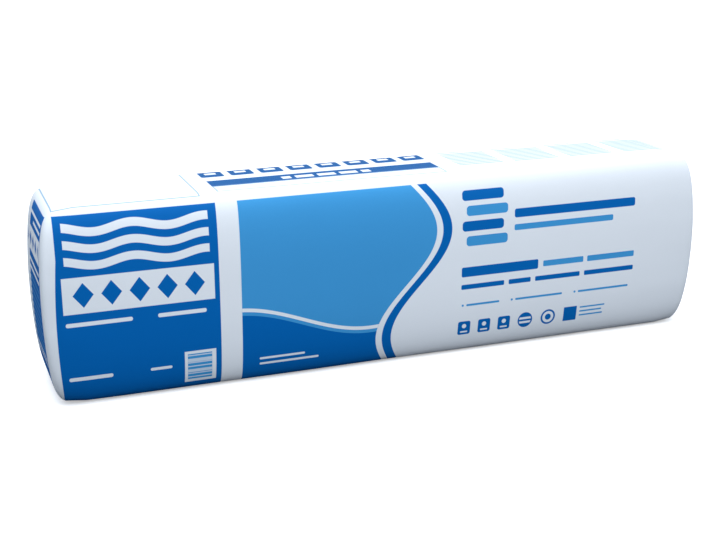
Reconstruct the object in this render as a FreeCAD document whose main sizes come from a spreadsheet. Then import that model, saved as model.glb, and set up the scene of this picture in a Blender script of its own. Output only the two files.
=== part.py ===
import FreeCAD, Part
import os
import Sketcher
from FreeCAD import Vector, Placement, Rotation

# A packaged bundle of fiberglass insulation batts.  Three batts, each folded
# once across its length, stand on edge side by side and are squeezed into a
# tight printed polyethylene bag.  The bundle lies on its long bottom face.
#   X: length of the bundle      Y: depth      Z: up
# The origin is on the floor, under the middle of the bundle.

doc = FreeCAD.newDocument("batt_bundle")

# ---------------------------------------------------------------- dimensions
sheet = doc.addObject("Spreadsheet::Sheet", "dims")
ROWS = [
    # alias, value (mm or plain number), what it is
    ("bag_length", 1200.0, "overall length of the film bag"),
    ("bag_depth", 210.0, "overall depth of the film bag"),
    ("bag_height", 333.0, "overall height of the film bag"),
    ("long_edge_radius", 26.0, "rounding of the four long edges"),
    ("end_edge_radius", 36.0, "rounding of the upper and lower edge of each end"),
    ("upright_edge_radius", 18.0, "rounding of the upright edges at the ends"),
    ("side_crown", 9.0, "how far each side face swells past a flat one"),
    ("top_crown", 3.0, "how far the top face swells past a flat one"),
    ("end_crown", 13.0, "how far each end swells past a flat one"),
    ("film_wall", 1.0, "wall of the film as modelled"),
    ("film_gap", 4.0, "room between the film and the batts"),
    ("batt_rounding", 14.0, "how much rounder the batts' edges are than the bag's"),
    ("batt_count", 3, "batts in the bag, each folded once"),
    ("batt_gap", 0.6, "gap between neighbouring batts"),
    ("leaf_gap", 0.6, "gap between the two leaves of a folded batt"),
    ("fold_wall", 37.0, "depth of the fold at the end of each batt"),
]
for i, (alias, value, note) in enumerate(ROWS, start=1):
    sheet.set("A%d" % i, alias)
    sheet.set("B%d" % i, repr(value))
    sheet.setAlias("B%d" % i, alias)
    sheet.set("C%d" % i, note)
doc.recompute()


def dim(alias):
    return float(sheet.get(alias))


def role_plane(body, role):
    """The body's own origin plane or axis with this role."""
    for feature in body.Origin.OriginFeatures:
        if feature.Role == role:
            return feature
    raise RuntimeError("no origin feature with role " + role)


def new_sketch(body, name, role):
    sketch = body.newObject("Sketcher::SketchObject", name)
    sketch.AttachmentSupport = [(role_plane(body, role), "")]
    sketch.MapMode = "FlatFace"
    return sketch


# ------------------------------------------------------- crowned block shape
# The bag is a box whose sides, top and ends swell outwards, with every edge
# rounded.  Each swollen face is part of a large cylinder, so a block set in
# by some distance has the same cylinder axes and smaller radii, and keeps an
# even wall all the way round.
SIDE_R = "((dims.bag_height^2 / 4 + dims.side_crown^2) / (2 * dims.side_crown))"
TOP_R = "((dims.bag_depth^2 / 4 + dims.top_crown^2) / (2 * dims.top_crown))"
END_R = "((dims.bag_height^2 / 4 + dims.end_crown^2) / (2 * dims.end_crown))"
SPARE = 30.0  # how far the plain box stands past the swollen faces


def cylinder(name, radius, length, base, rotation):
    obj = doc.addObject("Part::Cylinder", name)
    obj.setExpression("Radius", radius)
    obj.setExpression("Height", length)
    obj.Placement = Placement(Vector(0, 0, 0), rotation)
    for axis, formula in zip("xyz", base):
        obj.setExpression("Placement.Base." + axis, formula)
    return obj


def crowned_block(tag, inset, rounder=0.0):
    """The bag's outer shape set in by `inset`, an expression in millimetres,
    with its edges rounder by `rounder`."""
    box = doc.addObject("Part::Box", tag + "_box")
    box.setExpression("Length", "dims.bag_length + %g" % (2 * SPARE))
    box.setExpression("Width", "dims.bag_depth + %g" % (2 * SPARE))
    box.setExpression("Height", "dims.bag_height + %g - (%s)" % (SPARE, inset))
    box.setExpression("Placement.Base.x", "-dims.bag_length / 2 - %g" % SPARE)
    box.setExpression("Placement.Base.y", "-dims.bag_depth / 2 - %g" % SPARE)
    box.setExpression("Placement.Base.z", inset)
    along_x = Rotation(Vector(0, 1, 0), 90)
    along_y = Rotation(Vector(1, 0, 0), -90)
    long_run = "dims.bag_length + %g" % (4 * SPARE)
    deep_run = "dims.bag_depth + %g" % (4 * SPARE)
    start_x = "-dims.bag_length / 2 - %g" % (2 * SPARE)
    start_y = "-dims.bag_depth / 2 - %g" % (2 * SPARE)
    mid_z = "dims.bag_height / 2"
    front = cylinder(tag + "_front", SIDE_R + " - (%s)" % inset, long_run,
                     (start_x, "-dims.bag_depth / 2 + " + SIDE_R, mid_z), along_x)
    back = cylinder(tag + "_back", SIDE_R + " - (%s)" % inset, long_run,
                    (start_x, "dims.bag_depth / 2 - " + SIDE_R, mid_z), along_x)
    top = cylinder(tag + "_top", TOP_R + " - (%s)" % inset, long_run,
                   (start_x, "0", "dims.bag_height - " + TOP_R), along_x)
    left = cylinder(tag + "_left", END_R + " - (%s)" % inset, deep_run,
                    ("-dims.bag_length / 2 + " + END_R, start_y, mid_z), along_y)
    right = cylinder(tag + "_right", END_R + " - (%s)" % inset, deep_run,
                     ("dims.bag_length / 2 - " + END_R, start_y, mid_z), along_y)
    common = doc.addObject("Part::MultiCommon", tag + "_swollen")
    common.Shapes = [box, front, back, top, left, right]
    doc.recompute()
    rounded = doc.addObject("Part::Fillet", tag + "_rounded")
    rounded.Base = common
    edges = []
    for n, edge in enumerate(common.Shape.Edges, start=1):
        a, b = edge.Vertexes[0].Point, edge.Vertexes[-1].Point
        if abs(a.x - b.x) > 0.5 * dim("bag_length"):
            r = dim("long_edge_radius")
        elif abs(a.y - b.y) > 0.5 * dim("bag_depth"):
            r = dim("end_edge_radius")
        else:
            r = dim("upright_edge_radius")
        r += rounder - value_of(inset)
        edges.append((n, r, r))
    rounded.Edges = edges
    doc.recompute()
    return rounded


def value_of(formula):
    """The value of an expression that holds only sheet aliases, + and numbers."""
    total = 0.0
    for word in formula.split("+"):
        word = word.strip()
        total += dim(word[5:]) if word.startswith("dims.") else float(word)
    return total


# -------------------------------------------------------------- the film bag
outer = crowned_block("skin", "0")
inner = crowned_block("inside", "dims.film_wall")
film = doc.addObject("Part::Cut", "film")
film.Label = "film_bag"
film.Base = outer
film.Tool = inner
doc.recompute()

# ----------------------------------------------------------------- the batts
cavity = crowned_block("cavity", "dims.film_wall + dims.film_gap", dim("batt_rounding"))
COUNT = int(dim("batt_count"))
FLOOR = "(dims.film_wall + dims.film_gap)"
PITCH = "((dims.bag_depth - 2 * %s + dims.batt_gap) / dims.batt_count)" % FLOOR
THICK = "(%s - dims.batt_gap)" % PITCH


def batt_body(i):
    """One batt folded once, seen from above as a long hairpin."""
    body = doc.addObject("PartDesign::Body", "batt_body_%d" % i)
    sketch = new_sketch(body, "fold_%d" % i, "XY_Plane")
    side = 1.0 if i % 2 else -1.0          # which end the fold is at
    floor = value_of("dims.film_wall + dims.film_gap")
    pitch = (dim("bag_depth") - 2 * floor + dim("batt_gap")) / COUNT
    thick = pitch - dim("batt_gap")
    near = dim("bag_depth") / 2 - floor - (i - 1) * pitch      # as -Y
    mid = -near + thick / 2
    slot = dim("leaf_gap") / 2
    half = dim("bag_length") / 2 - floor
    r_out = thick / 2
    fold = side * (half - r_out)           # centre of the fold
    tail = -side * half                    # the two cut ends
    slot_end = side * (half - dim("fold_wall"))

    def v(x, y):
        return Vector(x, y, 0)

    def half_circle(x, y, r):
        circle = Part.Circle(v(x, y), Vector(0, 0, 1), r)
        if side > 0:
            return Part.ArcOfCircle(circle, -1.5707963267948966, 1.5707963267948966)
        return Part.ArcOfCircle(circle, 1.5707963267948966, 4.71238898038469)

    g = sketch.addGeometry([
        Part.LineSegment(v(tail, mid - r_out), v(fold, mid - r_out)),      # 0 front face
        half_circle(fold, mid, r_out),                                      # 1 fold, outside
        Part.LineSegment(v(fold, mid + r_out), v(tail, mid + r_out)),      # 2 back face
        Part.LineSegment(v(tail, mid + r_out), v(tail, mid + slot)),       # 3 back cut end
        Part.LineSegment(v(tail, mid + slot), v(slot_end, mid + slot)),    # 4 slot, back
        half_circle(slot_end, mid, slot),                                   # 5 slot end
        Part.LineSegment(v(slot_end, mid - slot), v(tail, mid - slot)),    # 6 slot, front
        Part.LineSegment(v(tail, mid - slot), v(tail, mid - r_out)),       # 7 front cut end
    ], False)
    C = Sketcher.Constraint
    s1, e1 = (1, 2) if side > 0 else (2, 1)   # the arc's front and back end
    sketch.addConstraint([
        C("Tangent", g[0], 2, g[1], s1), C("Tangent", g[1], e1, g[2], 1),
        C("Coincident", g[2], 2, g[3], 1), C("Coincident", g[3], 2, g[4], 1),
        C("Tangent", g[4], 2, g[5], e1), C("Tangent", g[5], s1, g[6], 1),
        C("Coincident", g[6], 2, g[7], 1), C("Coincident", g[7], 2, g[0], 1),
        C("Horizontal", g[0]), C("Horizontal", g[2]), C("Horizontal", g[4]), C("Horizontal", g[6]),
        C("Vertical", g[3]), C("Vertical", g[7]),
        C("Horizontal", g[1], 3, g[5], 3),
    ])

    def driven(kind, args, formula, name):
        n = sketch.addConstraint(C(kind, *args))
        sketch.renameConstraint(n, name)
        sketch.setExpression("Constraints." + name, formula)

    driven("Radius", (g[1], r_out), THICK + " / 2", "fold_radius")
    driven("Radius", (g[5], slot), "dims.leaf_gap / 2", "slot_radius")
    # both ways are measured from the middle of the bag, as positive numbers
    near_face = "dims.bag_depth / 2 - " + FLOOR + " - %d * %s" % (i - 1, PITCH)
    if near > 0:
        driven("DistanceY", (g[0], 1, -1, 1, near), near_face, "front_reach")
    else:
        driven("DistanceY", (-1, 1, g[0], 1, -near), "-(" + near_face + ")", "front_reach")
    reach = "dims.bag_length / 2 - " + FLOOR
    if side > 0:
        driven("DistanceX", (g[0], 1, -1, 1, half), reach, "tail_reach")
        driven("DistanceX", (-1, 1, g[1], 3, half - r_out), reach + " - " + THICK + " / 2", "fold_reach")
        driven("DistanceX", (-1, 1, g[5], 3, half - dim("fold_wall")), reach + " - dims.fold_wall", "slot_reach")
    else:
        driven("DistanceX", (-1, 1, g[0], 1, half), reach, "tail_reach")
        driven("DistanceX", (g[1], 3, -1, 1, half - r_out), reach + " - " + THICK + " / 2", "fold_reach")
        driven("DistanceX", (g[5], 3, -1, 1, half - dim("fold_wall")), reach + " - dims.fold_wall", "slot_reach")
    pad = body.newObject("PartDesign::Pad", "width_%d" % i)
    pad.Profile = sketch
    pad.setExpression("Length", "dims.bag_height")
    body.Tip = pad
    doc.recompute()
    # the bag squeezes the batt to its own rounded shape
    pressed = doc.addObject("Part::Common", "batt_%d" % i)
    pressed.Base = body
    pressed.Tool = cavity
    pressed.Label = "batt_%d" % i
    return pressed


batts = [batt_body(i) for i in range(1, COUNT + 1)]
doc.recompute()

# ---------------------------------------------------------------- the checks
pieces = [film] + batts
for obj in doc.Objects:
    bad = [s for s in obj.State if s in ("Invalid", "Error")]
    if bad:
        raise RuntimeError("%s did not build: %s" % (obj.Name, bad))
for obj in pieces:
    shape = obj.Shape
    if shape.isNull() or not shape.isValid() or len(shape.Solids) != 1:
        raise RuntimeError("%s has a bad shape: null %s, valid %s, solids %d" % (
            obj.Label, shape.isNull(), shape.isValid(), len(shape.Solids)))

os.makedirs("parts", exist_ok=True)
for obj in pieces:
    obj.Shape.exportStep("parts/%s.step" % obj.Label)
    b = obj.Shape.optimalBoundingBox(True, False)
    print("%-10s volume %12.0f mm3  x %.2f..%.2f  y %.2f..%.2f  z %.2f..%.2f  faces %d" % (
        obj.Label, obj.Shape.Volume, b.XMin, b.XMax, b.YMin, b.YMax, b.ZMin, b.ZMax, len(obj.Shape.Faces)))
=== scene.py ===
import math

import bpy
import numpy as np
from mathutils import Matrix, Vector


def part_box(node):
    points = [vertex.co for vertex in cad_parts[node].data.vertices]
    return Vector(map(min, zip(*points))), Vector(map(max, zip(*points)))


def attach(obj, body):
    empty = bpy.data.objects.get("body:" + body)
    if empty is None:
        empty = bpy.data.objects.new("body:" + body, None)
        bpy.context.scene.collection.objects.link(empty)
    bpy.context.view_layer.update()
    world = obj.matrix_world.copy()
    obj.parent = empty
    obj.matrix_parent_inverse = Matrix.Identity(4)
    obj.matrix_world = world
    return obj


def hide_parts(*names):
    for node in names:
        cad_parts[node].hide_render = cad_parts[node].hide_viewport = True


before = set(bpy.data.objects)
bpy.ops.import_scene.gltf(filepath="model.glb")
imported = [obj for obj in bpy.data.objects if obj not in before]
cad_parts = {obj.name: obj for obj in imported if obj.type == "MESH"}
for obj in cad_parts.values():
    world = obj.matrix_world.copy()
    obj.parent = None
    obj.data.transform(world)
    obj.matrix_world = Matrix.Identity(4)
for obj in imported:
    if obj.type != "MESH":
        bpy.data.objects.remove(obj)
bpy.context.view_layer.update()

film_lo, film_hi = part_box("film_bag")
A = (film_hi[0] - film_lo[0]) / 2 - 0.0002       # half length
B = 0.10450                                       # half depth
CC = (film_hi[2] - film_lo[2]) / 2 - 0.0001       # half height
FLAT = 0.0008                                     # how much of the round underside the floor presses flat
ZC = CC - FLAT                                    # height of the middle of the bag


# ------------------------------------------------------------------ the skin
def outline(u, n, m):
    return (1.0 - np.clip(np.abs(u), 0, 1) ** n) ** (1.0 / m)


def section_points(count):
    """Points round the bag's cross section, evenly spaced along it, as (y, z)."""
    t = np.linspace(0, 2 * np.pi, 20001)
    p, q = 11.3, 2.64
    c, s = np.cos(t), np.sin(t)
    y = B * np.sign(c) * np.abs(c) ** (2 / p)
    z = CC * np.sign(s) * np.abs(s) ** (2 / q)
    # a superellipse drawn by angle is too coarse where it turns, so it is drawn again by arc length
    d = np.concatenate([[0], np.cumsum(np.hypot(np.diff(y), np.diff(z)))])
    goal = np.linspace(0, d[-1], count, endpoint=False)
    return np.interp(goal, d, y), np.interp(goal, d, z)


def noise_field(seed, scale, terms=26):
    """A smooth repeatable wobble in space: a sum of plane waves, about -1 to 1."""
    rng = np.random.default_rng(seed)
    k = rng.normal(size=(terms, 3)) * (2 * np.pi / scale) * 0.6
    ph = rng.uniform(0, 2 * np.pi, terms)
    am = rng.uniform(0.5, 1.0, terms)
    am /= np.sqrt((am ** 2).sum() / 2) * 1.6

    def f(P):
        return (np.sin(P @ k.T + ph) * am).sum(axis=1)
    return f


def skin_mesh(name, around=300, along=190, end=44):
    sy, sz = section_points(around)
    # rings: even along the sides, then by the height that is left towards each end
    lim = 0.90
    body = np.linspace(-lim, lim, along)
    hs = np.linspace(outline(lim, 68.3, 1.914), 0.006, end + 1)[1:]
    tip = (1 - hs ** 1.914) ** (1 / 68.3)
    xs = np.concatenate([-tip[::-1], body, tip])
    rings = []
    for u in xs:
        ky = outline(u, 58.3, 28.8)
        kz = outline(u, 68.3, 1.914)
        rings.append(np.stack([np.full(around, u * A), sy * ky, sz * kz], axis=1))
    P = np.concatenate(rings)
    n = len(xs)
    faces = []
    for i in range(n - 1):
        a, b = i * around, (i + 1) * around
        for j in range(around):
            k = (j + 1) % around
            faces.append((a + j, a + k, b + k, b + j))
    # both ends close as a ladder between the upper and the lower half of the last ring
    half = around // 2
    for base, flip in ((0, True), ((n - 1) * around, False)):
        for j in range(0, half):
            a, b = base + j, base + (j + 1) % around
            c, d = base + (around - j - 1) % around, base + (around - j) % around
            ids = []
            for q in (a, b, c, d):
                if q not in ids:
                    ids.append(q)
            if len(ids) >= 3:
                faces.append(tuple(ids[::-1] if flip else ids))
    return P, faces


def vertex_normals(P, faces):
    N = np.zeros_like(P)
    quads = np.array([f for f in faces if len(f) == 4])
    d1 = P[quads[:, 2]] - P[quads[:, 0]]
    d2 = P[quads[:, 3]] - P[quads[:, 1]]
    fn = np.cross(d1, d2)
    for c in range(4):
        np.add.at(N, quads[:, c], fn)
    return N / (np.linalg.norm(N, axis=1, keepdims=True) + 1e-15)


P, faces = skin_mesh("film")
N = vertex_normals(P, faces)
if np.mean(np.einsum("ij,ij->i", N, P)) < 0:
    faces = [f[::-1] for f in faces]
    N = -N

# The taut film follows the wool: long shallow swells, and short pulls that run
# along the bag and die out away from the ends.
swell = noise_field(11, 0.34)(P)
pull = noise_field(5, 0.05)(P * np.array([0.16, 1.0, 1.0]))
near_end = np.clip((np.abs(P[:, 0]) - 0.44) / 0.14, 0, 1)
face_on = np.clip((np.abs(N[:, 1]) + np.abs(N[:, 2])) * 1.2 - 0.25, 0, 1)
move = 0.0006 * swell - 0.0006 + 0.00022 * pull * near_end * face_on
P = P + N * move[:, None]
P[:, 2] = np.maximum(P[:, 2] + ZC, 0.0)

mesh = bpy.data.meshes.new("film")
mesh.from_pydata(P.tolist(), [], faces)
mesh.validate()
mesh.polygons.foreach_set("use_smooth", [True] * len(mesh.polygons))
mesh.update()
film = bpy.data.objects.new("film", mesh)
bpy.context.scene.collection.objects.link(film)


# ------------------------------------------- a small language for node maths
class Ex:
    """A value in a material's node tree, with arithmetic that adds Math nodes."""

    tree = None

    def __init__(self, v):
        self.v = v

    @staticmethod
    def op(kind, *args):
        node = Ex.tree.nodes.new("ShaderNodeMath")
        node.operation = kind
        for i, a in enumerate(args):
            a = a.v if isinstance(a, Ex) else a
            if isinstance(a, (int, float)):
                node.inputs[i].default_value = float(a)
            else:
                Ex.tree.links.new(a, node.inputs[i])
        return Ex(node.outputs[0])

    def __add__(s, o): return Ex.op("ADD", s, o)
    __radd__ = __add__
    def __sub__(s, o): return Ex.op("SUBTRACT", s, o)
    def __rsub__(s, o): return Ex.op("SUBTRACT", o, s)
    def __mul__(s, o): return Ex.op("MULTIPLY", s, o)
    __rmul__ = __mul__
    def __truediv__(s, o): return Ex.op("DIVIDE", s, o)
    def __neg__(s): return Ex.op("MULTIPLY", s, -1.0)
    def abs(s): return Ex.op("ABSOLUTE", s)
    def sin(s): return Ex.op("SINE", s)
    def cos(s): return Ex.op("COSINE", s)
    def fract(s): return Ex.op("FRACT", s)
    def sqrt(s): return Ex.op("SQRT", s)


def lo(*xs):
    out = xs[0]
    for x in xs[1:]:
        out = Ex.op("MINIMUM", out, x)
    return out


def hi(*xs):
    out = xs[0]
    for x in xs[1:]:
        out = Ex.op("MAXIMUM", out, x)
    return out


# each shape below is a signed distance in metres, positive inside
def rect(u, v, u0, u1, v0, v1):
    a = (u1 - u0) / 2 - (u - (u0 + u1) / 2).abs()
    b = (v1 - v0) / 2 - (v - (v0 + v1) / 2).abs()
    return lo(a, b)


def rrect(u, v, u0, u1, v0, v1, r):
    a = hi((u - (u0 + u1) / 2).abs() - ((u1 - u0) / 2 - r), 0.0)
    b = hi((v - (v0 + v1) / 2).abs() - ((v1 - v0) / 2 - r), 0.0)
    return r - (a * a + b * b).sqrt()


def disc(u, v, cu, cv, r):
    a, b = u - cu, v - cv
    return r - (a * a + b * b).sqrt()


def sine(u, v, v0, amp, wave, phase, width):
    k = 2 * math.pi / wave
    s = (u * k + phase)
    d = (v - v0 - amp * s.sin()).abs() / (1.0 + (amp * k * s.cos()) * (amp * k * s.cos())).sqrt()
    return width / 2 - d


def repeat(u, u0, pitch):
    """u folded into cells of that pitch, as -pitch/2 to pitch/2."""
    return ((u - u0) / pitch + 0.5).fract() * pitch - pitch / 2


def mask(d, soft=0.0007):
    out = Ex.op("MULTIPLY_ADD", d, 1.0 / soft, 0.5)
    out.v.node.use_clamp = True
    return out


def linear(rgb):
    return tuple((c / 255 / 12.92) if c / 255 <= 0.04045 else ((c / 255 + 0.055) / 1.055) ** 2.4 for c in rgb) + (1.0,)


WHITE = linear((237, 243, 250))
DARK = linear((0, 103, 184))
LIGHT = linear((66, 156, 219))
PALE = linear((206, 222, 240))
FAINT = linear((150, 178, 205))
DEEP = linear((6, 88, 152))
MID = linear((96, 158, 212))


def noise_node(tree, vector, scale, detail=3.0, rough=0.55):
    n = tree.nodes.new("ShaderNodeTexNoise")
    n.inputs["Scale"].default_value = scale
    n.inputs["Detail"].default_value = detail
    n.inputs["Roughness"].default_value = rough
    tree.links.new(vector, n.inputs["Vector"])
    return n.outputs["Fac"]


def film_material():
    mat = bpy.data.materials.new("printed_film")
    mat.use_nodes = True
    tree = mat.node_tree
    tree.nodes.clear()
    Ex.tree = tree
    coord = tree.nodes.new("ShaderNodeTexCoord")
    xyz = tree.nodes.new("ShaderNodeSeparateXYZ")
    tree.links.new(coord.outputs["Object"], xyz.inputs[0])
    x, y, zz = (Ex(xyz.outputs[i]) for i in range(3))
    z = zz - ZC

    # a Mix node set to colour has its colour sockets after the others
    def mixc(base, colour, m):
        node = tree.nodes.new("ShaderNodeMix")
        node.data_type = "RGBA"
        a, b, out = node.inputs[6], node.inputs[7], node.outputs[2]
        tree.links.new(m.v, node.inputs[0])
        for sock, val in ((a, base), (b, colour)):
            if isinstance(val, tuple):
                sock.default_value = val
            else:
                tree.links.new(val, sock)
        return out

    # the printed side is towards -Y; its print runs a little way under the bag
    side = lo(-y - 0.0665, 0.1530 - z)

    # ---- panel A, at the left of the front face
    bulge = z + 0.0350
    panel_a = lo(side, x + 0.5743 + hi(0.0060 - bulge * bulge * 0.42, 0.0), -x - 0.3157)
    wave_a = lo(hi(sine(x, z, 0.1310, 0.0050, 0.1180, 0.6, 0.0135),
                   sine(x, z, 0.1045, 0.0050, 0.1180, 0.6, 0.0135),
                   sine(x, z, 0.0780, 0.0050, 0.1180, 0.6, 0.0135)), 0.1160 - (x + 0.4460).abs())
    band = rect(x, z, -0.5683, -0.3241, -0.0045, 0.0557)
    cell = repeat(x, -0.4462, 0.0448)
    gems = lo(0.0165 - (cell.abs() + (z - 0.0256).abs() * 0.80), 0.1125 - (x + 0.4462).abs())
    words_a = hi(
        rrect(x, z, -0.5660, -0.4600, -0.0258, -0.0190, 0.003),
        rrect(x, z, -0.4190, -0.3390, -0.0258, -0.0190, 0.003),
        rrect(x, z, -0.5660, -0.4960, -0.1195, -0.1130, 0.003),
        rrect(x, z, -0.4350, -0.3990, -0.1180, -0.1130, 0.0025),
    )
    tag = rect(x, z, -0.3780, -0.3250, -0.1490, -0.0920)
    tag_in = rect(x, z, -0.3730, -0.3320, -0.1440, -0.0970)
    tag_line = lo(tag_in, 0.0010 - repeat(z, -0.1000, 0.0066).abs())
    tag_bar = lo(tag_in, 0.0028 - repeat(z, -0.1090, 0.0190).abs())

    # ---- panel B, a plain field with a wave along its foot
    edge_b = 0.0150 + 0.0560 * (z * 17.0 + 0.35).sin()
    field = lo(side, x + 0.2794, edge_b - x)
    swell_b = -0.0700 + 0.0300 * (x * 13.0 - 0.9).sin()
    foot = lo(field, swell_b - z)
    crest = lo(field, 0.0032 - (z - swell_b - 0.0095).abs())
    ribbon = lo(side, 0.0085 - (x - edge_b - 0.0200).abs())
    lines_b = lo(field, hi(rrect(x, z, -0.2500, -0.1700, -0.1240, -0.1200, 0.0018),
                           rrect(x, z, -0.2500, -0.1450, -0.1340, -0.1300, 0.0018)))

    # ---- right part of the front face
    stack_dark = hi(rrect(x, z, 0.1190, 0.1990, 0.1180, 0.1360, 0.006),
                    rrect(x, z, 0.1190, 0.1990, 0.0640, 0.0820, 0.006))
    stack_light = hi(rrect(x, z, 0.1270, 0.2070, 0.0910, 0.1090, 0.006),
                     rrect(x, z, 0.1270, 0.2070, 0.0370, 0.0550, 0.006))
    stripes_dark = hi(
        rrect(x, z, 0.2200, 0.4650, 0.0800, 0.0960, 0.004),
        rrect(x, z, 0.1190, 0.2700, -0.0190, -0.0010, 0.003),
        rrect(x, z, 0.1190, 0.2030, -0.0420, -0.0330, 0.002),
        rrect(x, z, 0.2120, 0.2560, -0.0420, -0.0330, 0.002),
        rrect(x, z, 0.2650, 0.3560, -0.0420, -0.0330, 0.002),
        rrect(x, z, 0.3650, 0.4680, -0.0420, -0.0330, 0.002),
    )
    stripes_mid = hi(
        rrect(x, z, 0.2200, 0.4200, 0.0570, 0.0680, 0.003),
        rrect(x, z, 0.2800, 0.3620, -0.0160, -0.0050, 0.002),
        rrect(x, z, 0.3700, 0.4680, -0.0160, -0.0050, 0.002),
        disc(x, z, 0.1230, -0.0720, 0.0022), rrect(x, z, 0.1300, 0.1950, -0.0740, -0.0700, 0.0015),
        disc(x, z, 0.2200, -0.0720, 0.0022), rrect(x, z, 0.2270, 0.3220, -0.0740, -0.0700, 0.0015),
        disc(x, z, 0.3480, -0.0720, 0.0022), rrect(x, z, 0.3550, 0.4600, -0.0740, -0.0700, 0.0015),
    )
    chip_u = repeat(x, 0.1280, 0.0395)
    chips = lo(rrect(chip_u, z, -0.0122, 0.0122, -0.1285, -0.1025, 0.004), 0.0560 - (x - 0.1675).abs())
    chip_cut = lo(hi(disc(chip_u, z, 0.0, -0.1120, 0.0042), rrect(chip_u, z, -0.0070, 0.0070, -0.1245, -0.1215, 0.0012)),
                  0.0560 - (x - 0.1675).abs())
    coins = hi(disc(x, z, 0.2500, -0.1155, 0.0148), disc(x, z, 0.2970, -0.1155, 0.0148))
    coin_cut = hi(lo(disc(x, z, 0.2500, -0.1155, 0.0120), 0.0021 - (z + 0.1120).abs()),
                  lo(disc(x, z, 0.2500, -0.1155, 0.0120), 0.0021 - (z + 0.1200).abs()),
                  disc(x, z, 0.2970, -0.1155, 0.0112))
    coin_dot = disc(x, z, 0.2970, -0.1155, 0.0060)
    block = rrect(x, z, 0.3290, 0.3560, -0.1290, -0.1010, 0.001)
    block_lines = hi(
        rrect(x, z, 0.3620, 0.4140, -0.1060, -0.1030, 0.001),
        rrect(x, z, 0.3620, 0.4080, -0.1140, -0.1110, 0.001),
        rrect(x, z, 0.3620, 0.4110, -0.1220, -0.1190, 0.001),
    )

    # ---- the back carries the same two panels, left plain
    rear = lo(y - 0.0665, 0.1530 - z)
    rear_a = lo(rear, 0.1294 - (x + 0.4451).abs())
    rear_b = lo(rear, x + 0.2794, edge_b - x)
    rear_foot = lo(rear_b, swell_b - z)

    # ---- both ends, a panel like panel A
    tip = (x.abs() - 0.5760) * 6.0
    on_end = lo(tip, 0.0460 - y, y + 0.0775, 0.1500 - z, z + 0.1580)
    end_band = lo(tip, 0.0740 - y.abs(), 0.0200 - (z - 0.0900).abs())
    end_marks = lo(tip, 0.0620 - y.abs(), 0.0105 - (repeat(y, 0.0, 0.0310).abs() + (z - 0.0900).abs() * 0.85))
    end_bars = lo(tip, 0.0700 - y.abs(), hi(0.0030 - (z - 0.0540).abs(), 0.0030 - (z - 0.0400).abs(),
                                            0.0022 - (z + 0.0900).abs(), 0.0022 - (z + 0.1000).abs()))
    end_head = lo(tip, hi(lo(0.0700 - y.abs(), 0.0026 - (z - 0.1330).abs()),
                          lo(y + 0.0700, 0.0100 - y, 0.0026 - (z - 0.1210).abs())))
    end_lines = lo(tip, 0.0640 - y.abs(), 0.0600 - (z + 0.0300).abs(), 0.0013 - repeat(z, 0.0, 0.0120).abs())

    # ---- top face
    top = lo(z - 0.1400, 0.2)
    box_l = rect(x, y, -0.5740, -0.3370, -0.0800, 0.0840)
    line_l = lo(top, box_l, 0.0022 - box_l)
    icon_u = repeat(x, -0.2870, 0.0530)
    icon_on = 0.2120 - (x + 0.1015).abs()
    icons = lo(top, rrect(icon_u, y, -0.0205, 0.0205, 0.0320, 0.0860, 0.005), icon_on)
    icon_cut = lo(rrect(icon_u, y, -0.0100, 0.0100, 0.0500, 0.0620, 0.001), icon_on)
    bar = lo(top, rect(x, y, -0.3060, 0.1030, -0.0370, 0.0060))
    bar_cut = lo(top, rrect(repeat(x, -0.1000, 0.0400), y, -0.0160, 0.0160, -0.0240, -0.0080, 0.001), 0.0800 - (x + 0.1000).abs())
    box_r = rect(x, y, -0.3060, 0.1030, -0.0690, -0.0330)
    line_r = lo(top, box_r, 0.0022 - box_r)
    para_u = repeat(x, 0.1850, 0.1120)
    paras = lo(top, 0.0440 - para_u.abs(), 0.0480 - (y - 0.0120).abs(), 0.2100 - (x - 0.3530).abs(),
               0.0021 - repeat(y, 0.0, 0.0105).abs())
    para_head = lo(top, rrect(para_u, y, -0.0440, 0.0100, 0.0660, 0.0720, 0.001), 0.2100 - (x - 0.3530).abs())

    # ---- the inks, laid down in turn
    col = WHITE
    col = mixc(col, DARK, mask(hi(panel_a)))
    col = mixc(col, WHITE, mask(lo(panel_a, hi(wave_a, band, words_a, tag))))
    col = mixc(col, DARK, mask(lo(panel_a, gems)))
    col = mixc(col, LIGHT, mask(lo(panel_a, tag_in)))
    col = mixc(col, PALE, mask(lo(panel_a, hi(tag_line, tag_bar))))
    col = mixc(col, LIGHT, mask(field))
    col = mixc(col, DARK, mask(hi(foot, ribbon)))
    col = mixc(col, WHITE, mask(hi(crest, lines_b)))
    col = mixc(col, DARK, mask(lo(side, hi(stripes_dark, stack_dark, coins, chips, block))))
    col = mixc(col, LIGHT, mask(lo(side, hi(stripes_mid, stack_light, block_lines))))
    col = mixc(col, WHITE, mask(lo(side, hi(chip_cut, coin_cut))))
    col = mixc(col, DARK, mask(lo(side, coin_dot)))
    col = mixc(col, LIGHT, mask(rear_b))
    col = mixc(col, DARK, mask(hi(rear_a, rear_foot)))
    col = mixc(col, DARK, mask(on_end))
    col = mixc(col, WHITE, mask(hi(end_band, end_bars, end_head)))
    col = mixc(col, DARK, mask(end_marks))
    col = mixc(col, MID, mask(end_lines))
    col = mixc(col, DEEP, mask(hi(icons, bar)))
    col = mixc(col, WHITE, mask(hi(lo(top, icon_cut), bar_cut)))
    col = mixc(col, FAINT, mask(hi(line_l, line_r, paras, para_head)))

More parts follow.
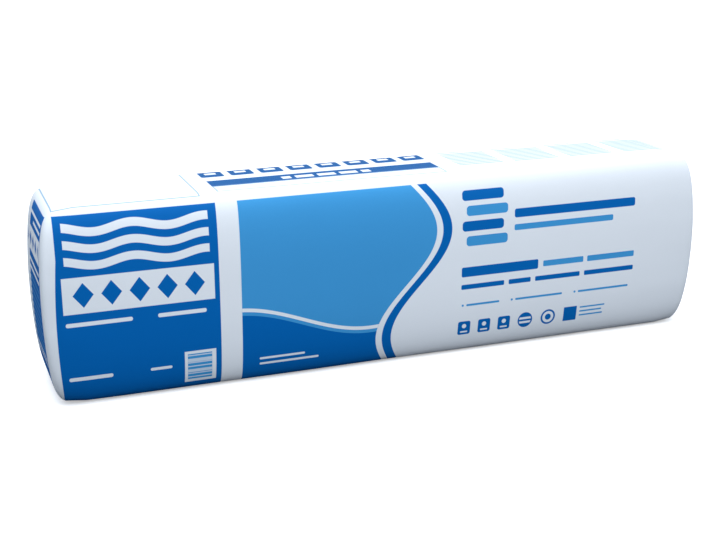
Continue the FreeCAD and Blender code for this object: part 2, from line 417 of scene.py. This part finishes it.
    # ---- the film itself
    blotch = Ex(noise_node(tree, coord.outputs["Object"], 7.0, 3.0))
    grain = Ex(noise_node(tree, coord.outputs["Object"], 900.0, 2.0))
    stretch = tree.nodes.new("ShaderNodeMapping")
    stretch.inputs["Scale"].default_value = (0.22, 1.0, 1.0)
    tree.links.new(coord.outputs["Object"], stretch.inputs["Vector"])
    draw = Ex(noise_node(tree, stretch.outputs["Vector"], 60.0, 4.0, 0.6))
    shade = tree.nodes.new("ShaderNodeMix")
    shade.data_type = "RGBA"
    shade.blend_type = "MULTIPLY"
    shade.inputs[0].default_value = 1.0
    tree.links.new(col, shade.inputs[6])
    tint = tree.nodes.new("ShaderNodeCombineColor")
    level = 0.955 + blotch * 0.05 + grain * 0.03
    for i in range(3):
        tree.links.new(level.v, tint.inputs[i])
    tree.links.new(tint.outputs[0], shade.inputs[7])

    bsdf = tree.nodes.new("ShaderNodeBsdfPrincipled")
    out = tree.nodes.new("ShaderNodeOutputMaterial")
    tree.links.new(bsdf.outputs[0], out.inputs[0])
    tree.links.new(shade.outputs[2], bsdf.inputs["Base Color"])
    rough = 0.42 + draw * 0.14 + grain * 0.05
    tree.links.new(rough.v, bsdf.inputs["Roughness"])
    bsdf.inputs["Specular IOR Level"].default_value = 0.08
    bump = tree.nodes.new("ShaderNodeBump")
    bump.inputs["Strength"].default_value = 0.16
    bump.inputs["Distance"].default_value = 0.0012
    relief = draw * 0.8 + grain * 0.05 + blotch * 0.4
    tree.links.new(relief.v, bump.inputs["Height"])
    tree.links.new(bump.outputs[0], bsdf.inputs["Normal"])
    return mat


def wool_material():
    mat = bpy.data.materials.new("glass_wool_fibres")
    mat.use_nodes = True
    tree = mat.node_tree
    bsdf = next(n for n in tree.nodes if n.type == "BSDF_PRINCIPLED")
    Ex.tree = tree
    coord = tree.nodes.new("ShaderNodeTexCoord")
    layer = tree.nodes.new("ShaderNodeMapping")
    layer.inputs["Scale"].default_value = (1.0, 9.0, 1.0)
    tree.links.new(coord.outputs["Object"], layer.inputs["Vector"])
    fibre = Ex(noise_node(tree, layer.outputs["Vector"], 120.0, 6.0, 0.7))
    tuft = Ex(noise_node(tree, coord.outputs["Object"], 26.0, 4.0, 0.6))
    ramp = tree.nodes.new("ShaderNodeValToRGB")
    ramp.color_ramp.elements[0].position = 0.3
    ramp.color_ramp.elements[0].color = (0.36, 0.25, 0.11, 1)
    ramp.color_ramp.elements[1].position = 0.7
    ramp.color_ramp.elements[1].color = (0.70, 0.56, 0.31, 1)
    tree.links.new((fibre * 0.6 + tuft * 0.4).v, ramp.inputs[0])
    tree.links.new(ramp.outputs[0], bsdf.inputs["Base Color"])
    bsdf.inputs["Roughness"].default_value = 0.95
    bsdf.inputs["Specular IOR Level"].default_value = 0.15
    bump = tree.nodes.new("ShaderNodeBump")
    bump.inputs["Strength"].default_value = 0.6
    bump.inputs["Distance"].default_value = 0.002
    tree.links.new((fibre + tuft).v, bump.inputs["Height"])
    tree.links.new(bump.outputs[0], bsdf.inputs["Normal"])
    return mat


film.data.materials.append(film_material())
wool = wool_material()
for name in ("batt_1", "batt_2", "batt_3"):
    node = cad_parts[name]
    for i in range(len(node.material_slots)):
        node.material_slots[i].link = "OBJECT"
        node.material_slots[i].material = wool

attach(film, "root")
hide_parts("film_bag")


# ------------------------------------------------------- floor, light, camera
def plain(name, colour, rough):
    mat = bpy.data.materials.new(name)
    mat.use_nodes = True
    bsdf = next(n for n in mat.node_tree.nodes if n.type == "BSDF_PRINCIPLED")
    bsdf.inputs["Base Color"].default_value = colour
    bsdf.inputs["Roughness"].default_value = rough
    bsdf.inputs["Specular IOR Level"].default_value = 0.0
    return mat


def ground(name, height, colour, glow):
    """A wide flat floor."""
    S = 30.0
    data = bpy.data.meshes.new(name)
    data.from_pydata([(-S, -S, height), (S, -S, height), (S, S, height), (-S, S, height)], [], [(0, 1, 2, 3)])
    obj = bpy.data.objects.new(name, data)
    bpy.context.scene.collection.objects.link(obj)
    mat = plain(name + "_pale", colour, 1.0)
    bsdf = next(n for n in mat.node_tree.nodes if n.type == "BSDF_PRINCIPLED")
    bsdf.inputs["Emission Color"].default_value = (1, 1, 1, 1)
    bsdf.inputs["Emission Strength"].default_value = glow
    data.materials.append(mat)
    return obj


# The floor that is seen is white. What the bag is lit by from below is a
# greyer floor just under it, so its lower half falls into soft shade.
floor = ground("floor", -0.0003, (0.93, 0.93, 0.93, 1), 0.40)
floor.visible_diffuse = False
floor.visible_glossy = False
floor.visible_transmission = False
floor.visible_shadow = False
under = ground("floor_below", -0.0008, (0.06, 0.06, 0.065, 1), 0.0)
under.visible_camera = False

world = bpy.data.worlds.new("studio")
bpy.context.scene.world = world
world.use_nodes = True
bg = next(n for n in world.node_tree.nodes if n.type == "BACKGROUND")
bg.inputs[0].default_value = (0.90, 0.985, 1.08, 1.0)
bg.inputs[1].default_value = 0.90


def sun(name, direction, strength, angle, colour=(1, 1, 1)):
    light = bpy.data.lights.new(name, "SUN")
    light.energy = strength
    light.angle = math.radians(angle)
    light.color = colour
    obj = bpy.data.objects.new(name, light)
    obj.rotation_euler = Vector(direction).to_track_quat("-Z", "Y").to_euler()
    bpy.context.scene.collection.objects.link(obj)
    return obj


sun("overhead", (0.05, 0.13, -1.0), 1.30, 30)

# a long softbox above the front edge, so the front face fades from top to bottom
box = bpy.data.lights.new("softbox", "AREA")
box.shape = "RECTANGLE"
box.size, box.size_y = 2.0, 0.5
box.energy = 5.9
softbox = bpy.data.objects.new("softbox", box)
softbox.location = (0.0, -0.78, 0.85)
bpy.context.scene.collection.objects.link(softbox)

cam = bpy.data.cameras.new("camera")
cam.sensor_fit = "HORIZONTAL"
cam.sensor_width = 36.0
F = 1254.79
cam.lens = F / 720 * 36
yaw, pitch = math.radians(20.51), math.radians(17.61)
forward = Vector((math.sin(yaw) * math.cos(pitch), math.cos(yaw) * math.cos(pitch), -math.sin(pitch)))
right = forward.cross(Vector((0, 0, 1))).normalized()
up = right.cross(forward)
tx, ty, tz = 17.014 * 2.2507 / F, -12.994 * 2.2507 / F, 2.2507
place = Vector((0, 0, ZC)) - (right * tx - up * ty + forward * tz)
rig = Matrix((right, up, -forward)).transposed().to_4x4()
rig.translation = place
camera = bpy.data.objects.new("camera", cam)
camera.matrix_world = rig
bpy.context.scene.collection.objects.link(camera)
bpy.context.scene.camera = camera

bpy.context.scene.view_settings.view_transform = "Standard"
bpy.context.scene.view_settings.look = "None"
